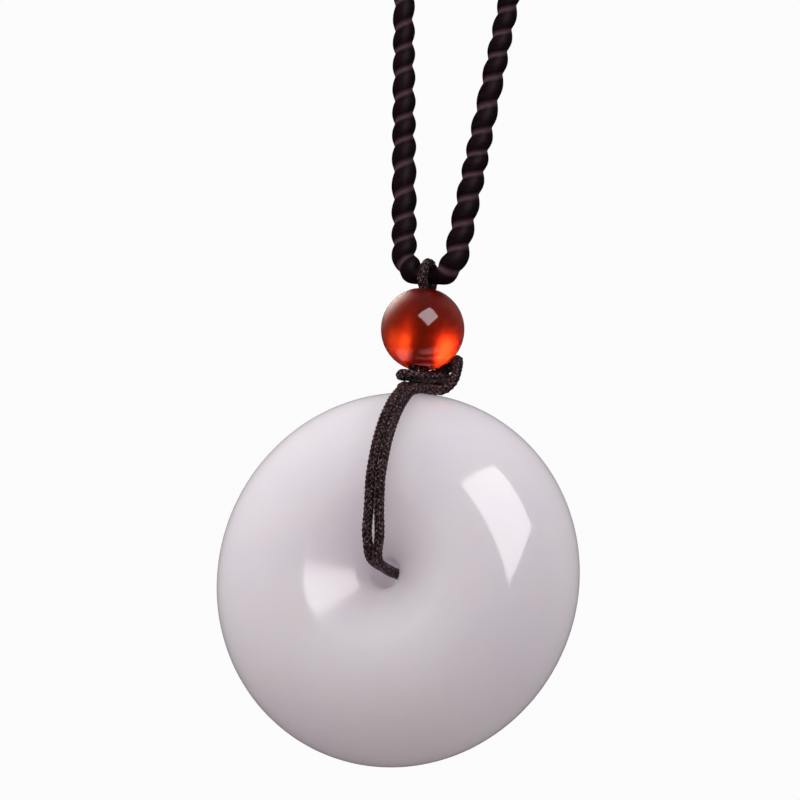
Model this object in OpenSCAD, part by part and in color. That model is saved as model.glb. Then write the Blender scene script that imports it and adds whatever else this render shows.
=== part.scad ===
// A white jade disc with an agate bead above it, hung by a thin doubled cord from a twisted neck cord.
// Millimetres. +Z is up, +X is to the right as seen from the front, and the front faces -Y.
// The origin is the underside of the join at the top of the neck loop, where the loop hangs.

/* [Jade disc] */
// Diameter of the disc
disc_d = 36; // [28:1:60]
// Thickness of the disc where it is thickest
disc_t = 15; // [10:0.5:20]
// Diameter of the ring along which the disc is thickest
crown_d = 16; // [12:0.5:22]
// Depth of the funnel round the hole, from the thickest ring down to where the hole's straight wall begins
funnel_depth = 4.3; // [3:0.1:4.6]
// Radius that rounds the funnel's outer edge
shoulder_r = 3; // [2:0.25:3.5]
// Radius that rounds the funnel into the hole
throat_r = 2; // [1.2:0.1:2.4]
// Room left on every side of the pair of cords in the disc's hole
hole_play = 0.4; // [0.2:0.05:1]

/* [Agate bead] */
// Diameter of the round bead
bead_d = 8; // [6:0.5:14]
// Room left on every side of the pair of cords in the bead's bore
bore_play = 0.1; // [0.05:0.05:0.5]
// Width of the cone that breaks each edge of the bore
bead_mouth_w = 0.45; // [0.3:0.05:0.8]

/* [Hanging cord] */
// Diameter of the thin braided cord that carries the disc
cord_d = 1.05; // [0.8:0.05:1.3]
// How far the front pair of strands stands to the left of the middle at the thickest ring
crown_lean = 0.14; // [0:0.02:0.4]
// How far the front pair of strands stands to the right of the middle at the rim
rim_lean = 0.26; // [0:0.02:0.4]
// Slit between the two front strands where they cross the funnel
front_slit = 0.3; // [0:0.05:0.5]
// How much higher the left front strand turns up out of the hole than the right one
left_lift = 0.4; // [0:0.05:0.6]
// Angle that the front pair of strands is turned by in the hole's mouth
mouth_turn = 25; // [0:1:40]

/* [Neck cord] */
// Diameter of the twisted neck cord
neck_cord_d = 2.2; // [1.6:0.1:3]
// Thickness of the neck cord where the thin cord's loop draws it in, as a share of its own
waist_share = 0.7; // [0.6:0.05:1]
// Length of the whole neck loop along its centreline
neck_loop_len = 650; // [450:10:900]
// Lean of each side of the loop from the vertical, in degrees
side_lean = 6.2; // [4:0.1:12]
// Bend radius of the neck cord's centreline where the pendant hangs
saddle_r = 2.7; // [2.4:0.1:5]
// Height left free between the neck cord and the top of the round bead
saddle_play = 0.25; // [0.2:0.05:1.5]

/* [Join] */
// Length of the whipped join where the neck cord's ends meet
join_len = 14; // [8:1:24]
// Thickness of the whipping round the cord
join_wall = 0.5; // [0.3:0.1:1]

/* [Fits] */
// Gap between pieces that lie against each other
gap = 0.08; // [0.05:0.01:0.12]

/* [Hidden] */
$fn = 96;

// Fineness of the disc's outline and of the two cords
profile_steps = 20;
funnel_steps = 8;
cord_sides = 8;
steps_per_span = 2;
neck_sides = 12;
low_arc_steps = 14;
high_arc_steps = 44;
side_steps = 8;

// Radii
disc_r = disc_d / 2;
half_t = disc_t / 2;
crown_r = crown_d / 2;
wall_y = half_t - funnel_depth;
bead_r = bead_d / 2;
cord_r = cord_d / 2;
neck_r = neck_cord_d / 2;
waist_r = neck_r * waist_share;

// Two cords side by side lie a pitch apart, and each lies its own radius and the gap above a surface
pitch = cord_d + gap;
pair_x = pitch / 2;
pair_r = pair_x + cord_r;
hole_r = pair_r + hole_play;
bore_r = pair_r + bore_play;
lay = cord_r + gap;

// The edge where the cone at each end of the bead's bore meets the round bead
bead_mouth_r = bore_r + bead_mouth_w;
bead_mouth_z = sqrt(bead_r * bead_r - bead_mouth_r * bead_mouth_r);

// The neck loop: a small arc below, two straight sides that lean outwards and a wide arc above
lean_radians = PI * side_lean / 180;
arcs_apart = (neck_loop_len - 2 * PI * saddle_r)
    / (sin(side_lean) * (PI + 2 * lean_radians) + 2 * cos(side_lean));
top_r = saddle_r + arcs_apart * sin(side_lean);
join_bore_r = neck_r + gap;
join_r = join_bore_r + join_wall;
top_arc_z = join_r - top_r;
low_arc_z = top_arc_z - arcs_apart;

// Heights of the things that hang, each from the one above it
saddle_z = low_arc_z - saddle_r;
bead_z = saddle_z - waist_r - saddle_play - bead_r;
knot_h = 2 * pitch;
disc_z = bead_z - bead_r - knot_h - disc_r;

// Outline of the disc, as [radius, distance from the disc's middle plane]: a quarter ellipse outside the
// crown, by a turn from 0 to 90 degrees, and inside it a funnel whose slope touches two rounding circles
function dome(turn) = [crown_r + (disc_r - crown_r) * sin(turn), half_t * cos(turn)];
shoulder_middle = [crown_r, half_t - shoulder_r];
throat_middle = [hole_r + throat_r, wall_y];
funnel_span = shoulder_middle - throat_middle;
funnel_turn = atan2(funnel_span[1], funnel_span[0]) + asin((shoulder_r - throat_r) / norm(funnel_span));
function rounding(middle, r, turn) = middle + r * [-sin(turn), cos(turn)];

// The path of a cord's middle that lies on the disc's dome
function lifted(p, normal) = p + lay * normal / norm(normal);
function on_dome(turn) = lifted(dome(turn), [sin(turn) / (disc_r - crown_r), cos(turn) / half_t]);
function on_disc(x, face, p, drop = 0) = [x, face * p[1], sqrt(max(0, p[0] * p[0] - x * x)) - drop];

// Lowest and highest place for a cord's middle between the rim and the bead, above the disc's middle. The
// lowest one allows for the rim's slope. Beside the bead, the highest one stops turning up with its underside.
function rim_at(x, y) = let (
    flat = sqrt(max(0.04, 1 - y * y / half_t / half_t)), r = crown_r + (disc_r - crown_r) * flat,
    height = sqrt(r * r - x * x), slope = (disc_r - crown_r) * y / half_t / half_t / flat)
    height + lay * sqrt(1 + slope * slope + x * x / height / height);
function bead_at(x, y) = let (reach = bead_r + lay)
    disc_r + knot_h + bead_r - sqrt(max(reach * reach / 4, reach * reach - x * x - y * y));
function between(x, y, level) =
    let (low = rim_at(x, y), high = bead_at(x, y)) [x, y, low + (high - low) * level];

// The hitch. Columns: x and y in cord pitches, and the level, from 0 where the cord lies on the rim to 1
// where it lies under the bead. It starts at the left front strand, goes twice round the standing pair,
// the second time in a wide turn that comes down at the right, and ends at the right front strand.
HITCH = [
    [-0.38, -2.15, 0.03], [-0.50, -1.45, 0.01], [-0.88, -0.75, 0.00], [-1.32, 0.00, 0.00],
    [-1.60, 0.80, 0.06], [-1.62, 1.68, 0.26], [-1.04, 2.50, 0.50], [0.00, 2.80, 0.55],
    [0.95, 2.74, 0.46], [1.70, 2.35, 0.36], [2.12, 1.65, 0.32], [2.14, 0.85, 0.40],
    [1.96, 0.10, 0.52], [1.50, -0.60, 0.60], [0.80, -1.14, 0.66], [0.00, -1.34, 0.72],
    [-0.86, -1.12, 0.80], [-1.38, -0.42, 0.79], [-1.44, 0.42, 0.85], [-1.16, 1.15, 0.92],
    [-0.45, 1.58, 0.95], [0.45, 1.72, 0.94], [1.38, 1.78, 0.93], [2.20, 1.62, 0.95],
    [2.82, 1.20, 0.94], [3.24, 0.58, 0.85], [3.42, -0.08, 0.60], [3.24, -0.75, 0.27],
    [2.66, -1.32, 0.06], [1.88, -1.68, 0.02], [1.10, -2.10, 0.03]
];
// The standing pair in the bead. Columns: turn of the pair from side by side, and height above the bead's
// middle as a share of its radius.
IN_BEAD = [[90, 0.60], [86, 0.24], [76, -0.14], [63, -0.52], [50, -0.90]];
// The standing pair, from the bead down to the back of the disc. Columns: y in pitches, the level, and the
// turn of the pair.
STANDING = [
    [0.02, 1.45, 42], [0.14, 1.05, 31], [0.44, 0.74, 15], [0.95, 0.41, 4], [1.64, 0.14, 0], [2.40, 0.02, 0]
];
// A strand out of the hole, in a bend up and free across the funnel to the crown. Columns: share of the way
// out, share of the way up, share by which the pair has spread, and shares of the slit and of the lift.
BRIDGE = [
    [0.200, 0.000, 0.00, 0.0, 0.0], [0.450, 0.010, 0.10, 0.0, 0.1], [0.652, 0.025, 0.40, 0.1, 0.6],
    [0.790, 0.080, 0.85, 0.0, 1.0], [0.845, 0.170, 1.00, 0.2, 1.0], [0.880, 0.360, 1.00, 1.0, 0.5],
    [0.940, 0.660, 1.00, 0.5, 0.1]
];
// Where the points of a strand on the dome are taken, as shares of the turn up to the hitch, which comes
// where the dome is as far from the disc's middle plane as the second size says, in pitches
DOME_STOPS = [0, 0.12, 0.33, 0.54, 0.72, 0.87, 1];
hitch_foot = 2.6;
// Share of the straight wall's length at which the strands have come to rest in the hole
mouth_share = 0.75;
// Angle to each side of the top that the loop goes round the neck cord, and its distance from that cord
wrap_turn = 115;
wrap_step = 23;
wrap_r = waist_r + lay + gap / 2;
// Where the loop has come in to the pair's place: how far below the bore's upper edge, as a share of that
// edge's cone, but not less far below the neck cord's middle than a share of the loop's own distance
loop_foot_share = 0.28;
loop_foot_reach = 1.05;
loop_foot_y = pair_x + 0.65 * bore_play;

// Where the strands lie in the hole: the rear pair side by side, the front pair turned
hole_reach = hole_r - lay;
turned_x = pair_x * cos(mouth_turn);
turned_drop = pitch * sin(mouth_turn);
function in_hole(side, front_drop) = let (
    back = on_disc(side * pair_x, 1, [hole_reach, mouth_share * wall_y]),
    front = on_disc(side * turned_x, -1, [hole_reach, mouth_share * wall_y], front_drop))
    [back, (back + front) / 2, front];

// One strand from the hole to the rim. side is -1 or 1, face is -1 in front and 1 behind, foot_x is how
// far it is from the middle in the hole, and drop is how far it sags away from the hole's upper edge.
function strand(side, face, foot_x, drop) = let (
    front = face < 0 ? 1 : 0, lift = side < 0 ? front * left_lift : 0,
    foot_z = sqrt(hole_reach * hole_reach - foot_x * foot_x) - drop) concat(
    [for (row = BRIDGE) [
        side * (foot_x + (pair_x - foot_x) * row[2] + front * front_slit / 2 * row[3])
            - front * crown_lean * row[1],
        face * (wall_y + (half_t + lay - wall_y) * row[0]),
        foot_z + (crown_r - foot_z) * row[1] + lift * row[4]]],
    [for (stop = DOME_STOPS) let (turn = stop * acos(min(0.9, hitch_foot * pitch / half_t))) on_disc(
        side * pair_x + front * (rim_lean * sin(turn) * sin(turn) - crown_lean * cos(turn) * cos(turn)),
        face, on_dome(turn))]);

// Standing strand, from the top of the bead, where the pair is one behind the other, down through a
// quarter turn to the back of the rim, where it is side by side
bead_mid = disc_r + knot_h + bead_r;
function standing(side) = concat(
    [for (row = IN_BEAD)
        [side * pair_x * cos(row[0]), side * pair_x * sin(row[0]), bead_mid + bead_r * row[1]]],
    [for (row = STANDING)
        between(side * pair_x * cos(row[2]), row[0] * pitch + side * pair_x * sin(row[2]), row[1])]);

// The loop over the neck cord, above the disc's middle, from the rear to the front
saddle_mid = saddle_z - disc_z;
loop_foot_z = min(bead_mid + bead_mouth_z - loop_foot_share * bead_mouth_w,
    saddle_mid - loop_foot_reach * wrap_r);
neck_wrap = concat([[0, loop_foot_y, loop_foot_z]],
    [for (turn = [wrap_turn : -wrap_step : -wrap_turn])
        [0, wrap_r * sin(turn), saddle_mid + wrap_r * cos(turn)]],
    [[0, -loop_foot_y, loop_foot_z]]);

// The whole cord: it starts and ends in the bead's bore, where its two ends are a small gap apart
function reversed(list) = [for (i = [len(list) - 1 : -1 : 0]) list[i]];
left_half = concat(standing(-1), reversed(strand(-1, 1, pair_x, 0)), in_hole(-1, 0),
    strand(-1, -1, turned_x, 0));
right_half = concat(standing(1), reversed(strand(1, 1, pair_x, 0)), in_hole(1, turned_drop),
    strand(1, -1, turned_x, turned_drop));
hitch = [for (row = HITCH) between(row[0] * pitch, row[1] * pitch, row[2])];
cord_route = concat(left_half, hitch, reversed(right_half), neck_wrap, [left_half[0] + [0, 0, 2 * gap]]);

// A smooth curve through the points, with n steps from each point to the next
function curve_at(a, b, c, d, t) =
    0.5 * (2 * b + (c - a) * t + (2 * a - 5 * b + 4 * c - d) * t * t + (3 * b - a - 3 * c + d) * t * t * t);
function smooth(pts, n) = let (last = len(pts) - 1)
    [for (i = [0 : last - 1]) for (k = [0 : n - 1])
        curve_at(pts[max(i - 1, 0)], pts[i], pts[i + 1], pts[min(i + 2, last)], k / n), pts[last]];

// Points on an arc in the XZ plane, from one angle to another, counted from +X towards +Z
function arc_points(middle_z, bend_r, from, to, steps) =
    [for (i = [0 : steps]) let (a = from + (to - from) * i / steps)
        [bend_r * cos(a), 0, middle_z + bend_r * sin(a)]];
// Points between two others, without the two
function span_points(from, to, steps) = [for (k = [1 : steps - 1]) from + (to - from) * k / steps];

// The neck loop's centreline: round the low arc, up the right side, round the top and down the left side
low_arc = arc_points(low_arc_z, saddle_r, 180 + side_lean, 360 - side_lean, low_arc_steps);
high_arc = arc_points(top_arc_z, top_r, -side_lean, 180 + side_lean, high_arc_steps);
neck_path = concat(low_arc, span_points(low_arc[low_arc_steps], high_arc[0], side_steps),
    high_arc, span_points(high_arc[high_arc_steps], low_arc[0], side_steps));

// The neck cord's radius at each point: the waist as wide as the loop, and an easing out to each side of it
waist_ease = 1.2 * neck_r;
function eased(t) = let (u = min(1, max(0, t))) u * u * (3 - 2 * u);
neck_radii = [for (p = neck_path)
    waist_r + (neck_r - waist_r) * eased((norm(p - [0, 0, saddle_z]) - lay) / waist_ease)];

// A tube along a path, with a radius and a ring of the given number of sides for each point, the first corner
// of the first ring towards start_out. An open path gets its ends capped, and a looped one closes up.
function unit(v) = v / norm(v);
module tube(path, radii, sides, start_out, looped = false) {
    count = len(path);
    last = count - 1;
    ways = [for (i = [0 : last]) looped
        ? unit(path[(i + 1) % count] - path[(i + last) % count])
        : unit(path[min(i + 1, last)] - path[max(i - 1, 0)])];
    outs = [for (i = 0, out = unit(start_out - (start_out * ways[0]) * ways[0]); i <= last;
        i = i + 1, out = i <= last ? unit(out - (out * ways[i]) * ways[i]) : out) out];
    points = [for (i = [0 : last]) let (side = cross(ways[i], outs[i]))
        for (k = [0 : sides - 1]) let (a = 360 * k / sides)
            path[i] + radii[i] * (outs[i] * cos(a) + side * sin(a))];
    walls = [for (i = [0 : looped ? last : last - 1]) for (k = [0 : sides - 1])
        let (here = i * sides, next = (i + 1) % count * sides, m = (k + 1) % sides)
            [here + k, next + k, next + m, here + m]];
    caps = looped ? [] : [[for (k = [0 : sides - 1]) k], [for (k = [sides - 1 : -1 : 0]) last * sides + k]];
    polyhedron(points, concat(walls, caps));
}

module jade_disc() {
    front_half = concat(
        [for (i = [0 : funnel_steps])
            rounding(throat_middle, throat_r, 90 + (funnel_turn - 90) * i / funnel_steps)],
        [for (i = [0 : funnel_steps])
            rounding(shoulder_middle, shoulder_r, funnel_turn * (1 - i / funnel_steps))],
        [for (i = [1 : profile_steps - 1]) dome(90 * i / profile_steps)]);
    outline = concat(front_half, [[disc_r, 0]], [for (p = reversed(front_half)) [p[0], -p[1]]]);
    color([0.86, 0.84, 0.87]) translate([0, 0, disc_z]) rotate([90, 0, 0])
        rotate_extrude() polygon(outline);
}

module agate_bead() {
    color([0.62, 0.12, 0.05]) translate([0, 0, bead_z]) difference() {
        sphere(r = bead_r);
        cylinder(r = bore_r, h = 2 * bead_d, center = true);
        for (end = [0, 1]) mirror([0, 0, end]) translate([0, 0, bead_mouth_z - bead_mouth_w])
            cylinder(r1 = bore_r, r2 = bead_mouth_r + bead_mouth_w, h = 2 * bead_mouth_w);
    }
}

module hanging_cord() {
    path = smooth(cord_route, steps_per_span);
    color([0.17, 0.11, 0.12]) translate([0, 0, disc_z])
        tube(path, [for (p = path) cord_r], cord_sides, [1, 0, 0]);
}

module neck_cord() {
    color([0.14, 0.09, 0.10]) tube(neck_path, neck_radii, neck_sides, [0, 1, 0], looped = true);
}

module cord_join() {
    half_turn = join_len / top_r * 90 / PI;
    color([0.10, 0.06, 0.07]) translate([0, 0, top_arc_z]) rotate([90, 0, 0])
        rotate_extrude(angle = 2 * half_turn, start = 90 - half_turn) translate([top_r, 0]) difference() {
            circle(r = join_r);
            circle(r = join_bore_r);
        }
}

jade_disc();
agate_bead();
hanging_cord();
neck_cord();
cord_join();
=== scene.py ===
"""Dresses a jade disc pendant: the polished disc, the agate bead, the two cords, and a studio."""

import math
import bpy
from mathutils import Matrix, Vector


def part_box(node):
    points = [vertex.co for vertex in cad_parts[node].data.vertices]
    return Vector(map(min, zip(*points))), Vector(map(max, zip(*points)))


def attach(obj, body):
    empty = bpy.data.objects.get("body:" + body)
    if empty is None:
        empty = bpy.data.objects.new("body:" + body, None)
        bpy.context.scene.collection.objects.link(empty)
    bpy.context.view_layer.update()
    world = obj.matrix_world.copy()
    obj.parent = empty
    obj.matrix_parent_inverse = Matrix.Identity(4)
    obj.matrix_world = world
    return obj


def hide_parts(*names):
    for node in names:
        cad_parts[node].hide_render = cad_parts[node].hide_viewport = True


bl_info = {
    "name": "Jade Disc Pendant",
    "version": (1, 0, 0),
    "blender": (4, 5, 0),
    "location": "3D View > Sidebar > Pendant",
    "description": "Models the jade disc, the agate bead and their cords, and sets the stage",
    "category": "Add Mesh",
}

import bmesh
import bpy
import numpy as np
from bpy.props import FloatProperty, FloatVectorProperty, IntProperty, PointerProperty
from mathutils import Matrix, Vector

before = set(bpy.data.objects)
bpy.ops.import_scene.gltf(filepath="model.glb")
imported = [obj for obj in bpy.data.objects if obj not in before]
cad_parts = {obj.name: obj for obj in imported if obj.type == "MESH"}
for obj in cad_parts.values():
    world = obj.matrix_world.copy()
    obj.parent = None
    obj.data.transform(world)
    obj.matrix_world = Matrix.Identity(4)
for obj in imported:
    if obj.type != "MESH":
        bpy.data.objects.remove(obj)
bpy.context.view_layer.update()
MM = 0.001
CM = 0.01
# Places closer than this, in millimetres, are taken as one
NEAR = 0.001


def span(node, axis):
    """The width of a CAD node along an axis, in millimetres."""
    low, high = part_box(node)
    return (high[axis] - low[axis]) / MM


def middle(node, axis):
    """The middle of a CAD node along an axis, in millimetres."""
    low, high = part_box(node)
    return (high[axis] + low[axis]) / 2 / MM


def tone(red, green, blue):
    """A colour as it looks on a screen, from 0 to 255, as the linear colour that shaders work in."""
    def linear(part):
        part /= 255
        return part / 12.92 if part <= 0.04045 else ((part + 0.055) / 1.055) ** 2.4
    return linear(red), linear(green), linear(blue)


def length(name, description, default, low=0.01, high=1000.0):
    """A size in millimetres that a user can set."""
    return FloatProperty(name=name, description=description, default=default, min=low, max=high,
                         precision=3)


def degrees(name, description, default):
    """An angle that a user can set, shown in degrees."""
    return FloatProperty(name=name, description=description, default=math.radians(default), subtype="ANGLE")


def position(name, description, default):
    """A place along one direction in millimetres, which may be negative."""
    return FloatProperty(name=name, description=description, default=default, precision=3)


def fraction(name, description, default):
    """A share of another size."""
    return FloatProperty(name=name, description=description, default=default, min=0.0)


def number(name, description, default, low):
    """A number of parts."""
    return IntProperty(name=name, description=description, default=default, min=low)


def colour(name, description, default):
    """A colour that a user can set."""
    return FloatVectorProperty(name=name, description=description, default=default, subtype="COLOR", size=3,
                               min=0.0, max=1.0)


# Sizes and colours, in millimetres and linear colour

class DiscLook(bpy.types.PropertyGroup):
    """The jade disc's sizes and colours"""

    diameter: length("Diameter", "Width of the disc", span("jade_disc", 0))
    thickness: length("Thickness", "Thickness of the disc at its crown", span("jade_disc", 1))
    height: position("Height", "Height of the disc's middle", middle("jade_disc", 2))
    crown_d: length("Crown", "Diameter of the ring where the disc is thickest", 16.0)
    funnel_depth: length("Funnel", "Depth from the crown to where the hole's straight wall begins", 4.3)
    shoulder_r: length("Shoulder", "Radius that rounds the funnel's outer edge", 3.0)
    throat_r: length("Throat", "Radius that rounds the funnel into the hole", 2.0)
    hole_play: length("Hole play", "Room round the pair of cords in the hole", 0.4)
    steps: number("Steps", "Steps in each curve of the section", 24, low=4)
    turns: number("Turns", "Steps round the disc", 192, low=24)
    milk: colour("Milk", "Main colour of the jade", tone(239, 232, 236))
    cloud: colour("Cloud", "Colour of the faint lilac clouds", tone(233, 226, 236))
    warm: colour("Warm", "Colour of the faint warm clouds", tone(239, 229, 231))


class BeadLook(bpy.types.PropertyGroup):
    """The agate bead's sizes and colours"""

    diameter: length("Diameter", "Width of the bead", span("agate_bead", 0))
    height: position("Height", "Height of the bead's middle", middle("agate_bead", 2))
    bore_play: length("Bore play", "Room round the pair of cords in the bore", 0.1)
    mouth_w: length("Mouth", "Width of the cone at each end of the bore in the packed part", 0.45)
    lip: length("Lip", "Radius that rounds the bore's edges", 0.22)
    segments: number("Segments", "Faces round the bead", 96, low=16)
    rings: number("Rings", "Faces from one pole to the other", 64, low=8)
    flame: colour("Flame", "Colour of the clear agate", tone(252, 84, 26))
    ember: colour("Ember", "Colour of the denser agate", tone(204, 16, 7))


class HangingCordLook(bpy.types.PropertyGroup):
    """The thin braided cord's sizes and colours"""

    diameter: length("Diameter", "Width of the thin cord", 1.05)
    gap: length("Gap", "Gap between the cord and what it lies on", 0.08)
    crown_lean: length("Crown lean", "Shift of the front pair to the left at the crown", 0.14, low=0.0)
    rim_lean: length("Rim lean", "Shift of the front pair to the right at the rim", 0.26, low=0.0)
    front_slit: length("Slit", "Slit between the front strands over the funnel", 0.3, low=0.0)
    left_lift: length("Lift", "How much higher the left front strand turns up", 0.4, low=0.0)
    mouth_turn: degrees("Mouth turn", "Turn of the front pair in the hole's mouth", 25.0)
    saddle_play: length("Saddle play", "Height between the neck cord and the bead", 0.25)
    lay: length("Lay", "Length in which a strand goes once round the cord", 3.0)
    rows: number("Rows", "Cross-sections in one lay", 18, low=8)
    each_way: number("Each way", "Strands of the braid in each direction", 6, low=2)
    strand_w: length("Strand width", "Width of one strand of the braid", 0.34)
    strand_t: length("Strand thickness", "Thickness of one strand of the braid", 0.17)
    dark: colour("Dark", "Colour between the fibres", tone(16, 7, 9))
    # The light colour is a painted highlight: the glints where light catches the braid's proud fibres
    light: colour("Light", "Colour of the flecks", tone(152, 118, 116))


class NeckCordLook(bpy.types.PropertyGroup):
    """The twisted neck cord's sizes and colours"""

    diameter: length("Diameter", "Width of the neck cord", 2.2)
    loop_len: length("Loop", "Length of the neck loop along its middle", 650.0)
    side_lean: degrees("Lean", "Lean of the loop's sides", 6.2)
    saddle_r: length("Saddle", "Bend radius where the pendant hangs", 2.7)
    gap: length("Gap", "Gap between the cord and its whipping", 0.08)
    waist: fraction("Waist", "Thickness inside the thin loop, as a share of the diameter", 0.7)
    lay: length("Lay", "Length in which the twist goes once round the cord", 2.37)
    groove: fraction("Groove", "Depth of the twist's groove, as a share of the radius", 0.27)
    rows: number("Rows", "Cross-sections in one lay", 14, low=8)
    sides: number("Sides", "Corners of the cross-section", 24, low=6)
    tight: fraction("Tight", "Width over the ridge up the sides, as a share of the diameter", 0.97)
    slack: fraction("Slack", "Width over the ridge near the saddle, as a share of the diameter", 1.13)
    dark: colour("Dark", "Colour of the twist", tone(16, 6, 8))
    pale: colour("Pale", "Colour in the groove, where the light catches", tone(98, 70, 78))
    # The light colour is a painted sheen: the glints where light catches the fibres that stand proud
    light: colour("Light", "Colour of the fibres that stand proud", tone(48, 27, 33))


class JoinLook(bpy.types.PropertyGroup):
    """The whipped join's sizes and colours"""

    length: length("Length", "Length of the whipped join", 14.0)
    wall: length("Wall", "Thickness of the whipping", 0.5)
    thread: length("Thread", "Width of the thread", 0.42)
    dark: colour("Dark", "Colour of the thread", tone(26, 14, 17))
    # The light colour is a painted sheen: the glints where light catches the thread's proud fibres
    light: colour("Light", "Colour of the fibres that stand proud", tone(66, 46, 50))


class StageLook(bpy.types.PropertyGroup):
    """The camera, the floor and the light of the room"""

    azimuth: degrees("Azimuth", "Direction of the camera, from the front towards +X", 20.8)
    elevation: degrees("Elevation", "Height of the camera over the horizon", -9.3)
    roll: degrees("Roll", "How far the picture is turned", 5.84)
    distance: length("Distance", "From the camera to what it looks at", 700.0)
    lens: FloatProperty(name="Lens", description="Focal length", default=331.1, unit="CAMERA")
    aim_right: position("Aim right", "Aim beside the disc's middle", -1.47)
    aim_up: position("Aim up", "Aim over the disc's middle", 17.0)
    floor_drop: length("Floor", "From the disc's middle down to the floor", 1300.0)
    floor_paint: colour("Floor paint", "Colour of the floor", (0.97, 0.965, 0.97))
    floor_cloud: colour("Floor cloud", "Colour of the faint clouds in it", (0.95, 0.94, 0.95))
    backdrop: colour("Backdrop", "Colour behind the object", (0.97, 0.97, 0.97))
    zenith: colour("Zenith", "Light from straight above", (0.98, 0.96, 0.98))
    horizon: colour("Horizon", "Light from the sides", (0.62, 0.60, 0.62))
    nadir: colour("Nadir", "Light from below", (0.17, 0.13, 0.125))
    top_gloss: colour("Top gloss", "What is mirrored from straight above", (0.12, 0.10, 0.105))
    side_gloss: colour("Side gloss", "What is mirrored from the sides", (0.035, 0.028, 0.03))
    low_gloss: colour("Low gloss", "What is mirrored from below", (0.02, 0.015, 0.017))


# Lines through space, in millimetres, as arrays of points

def unit(vectors):
    """The same vectors, each one long."""
    return vectors / np.linalg.norm(vectors, axis=-1, keepdims=True)


def headings(points, closed):
    """The direction in which a line runs at each of its points."""
    if closed:
        return unit(np.roll(points, -1, axis=0) - np.roll(points, 1, axis=0))
    return unit(np.gradient(points, axis=0))


def curve_through(points, steps):
    """A smooth curve through points, with the given number of steps from each point to the next."""
    ends = [points[0]] + list(points) + [points[-1]]
    curve = []
    for a, b, c, d in zip(ends, ends[1:], ends[2:], ends[3:]):
        a, b, c, d = (np.asarray(p, float) for p in (a, b, c, d))
        for k in range(steps):
            t = k / steps
            curve.append(0.5 * (2 * b + (c - a) * t + (2 * a - 5 * b + 4 * c - d) * t * t
                                + (3 * b - a - 3 * c + d) * t ** 3))
    return np.array(curve + [np.asarray(points[-1], float)])


def evenly(points, count, closed=False):
    """The same line, with count points that lie evenly along it, and its length."""
    line = np.vstack([points, points[:1]]) if closed else points
    places = np.concatenate([[0.0], np.cumsum(np.linalg.norm(np.diff(line, axis=0), axis=1))])
    wanted = np.linspace(0.0, places[-1], count, endpoint=not closed)
    return np.stack([np.interp(wanted, places, line[:, i]) for i in range(3)], axis=1), places[-1]


def ease(share):
    """A share, held between 0 and 1, that starts and stops gently."""
    share = np.clip(share, 0.0, 1.0)
    return share * share * (3 - 2 * share)


def carried_frames(points, start_out, closed=False):
    """Two directions across a line at each point, which turn with it as little as they can."""
    ways = headings(points, closed)
    outs = [np.asarray(start_out, float)]
    for way in ways:
        outs.append(unit(outs[-1] - np.dot(outs[-1], way) * way))
    outs = np.array(outs[1:])
    return outs, np.cross(ways, outs)


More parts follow.
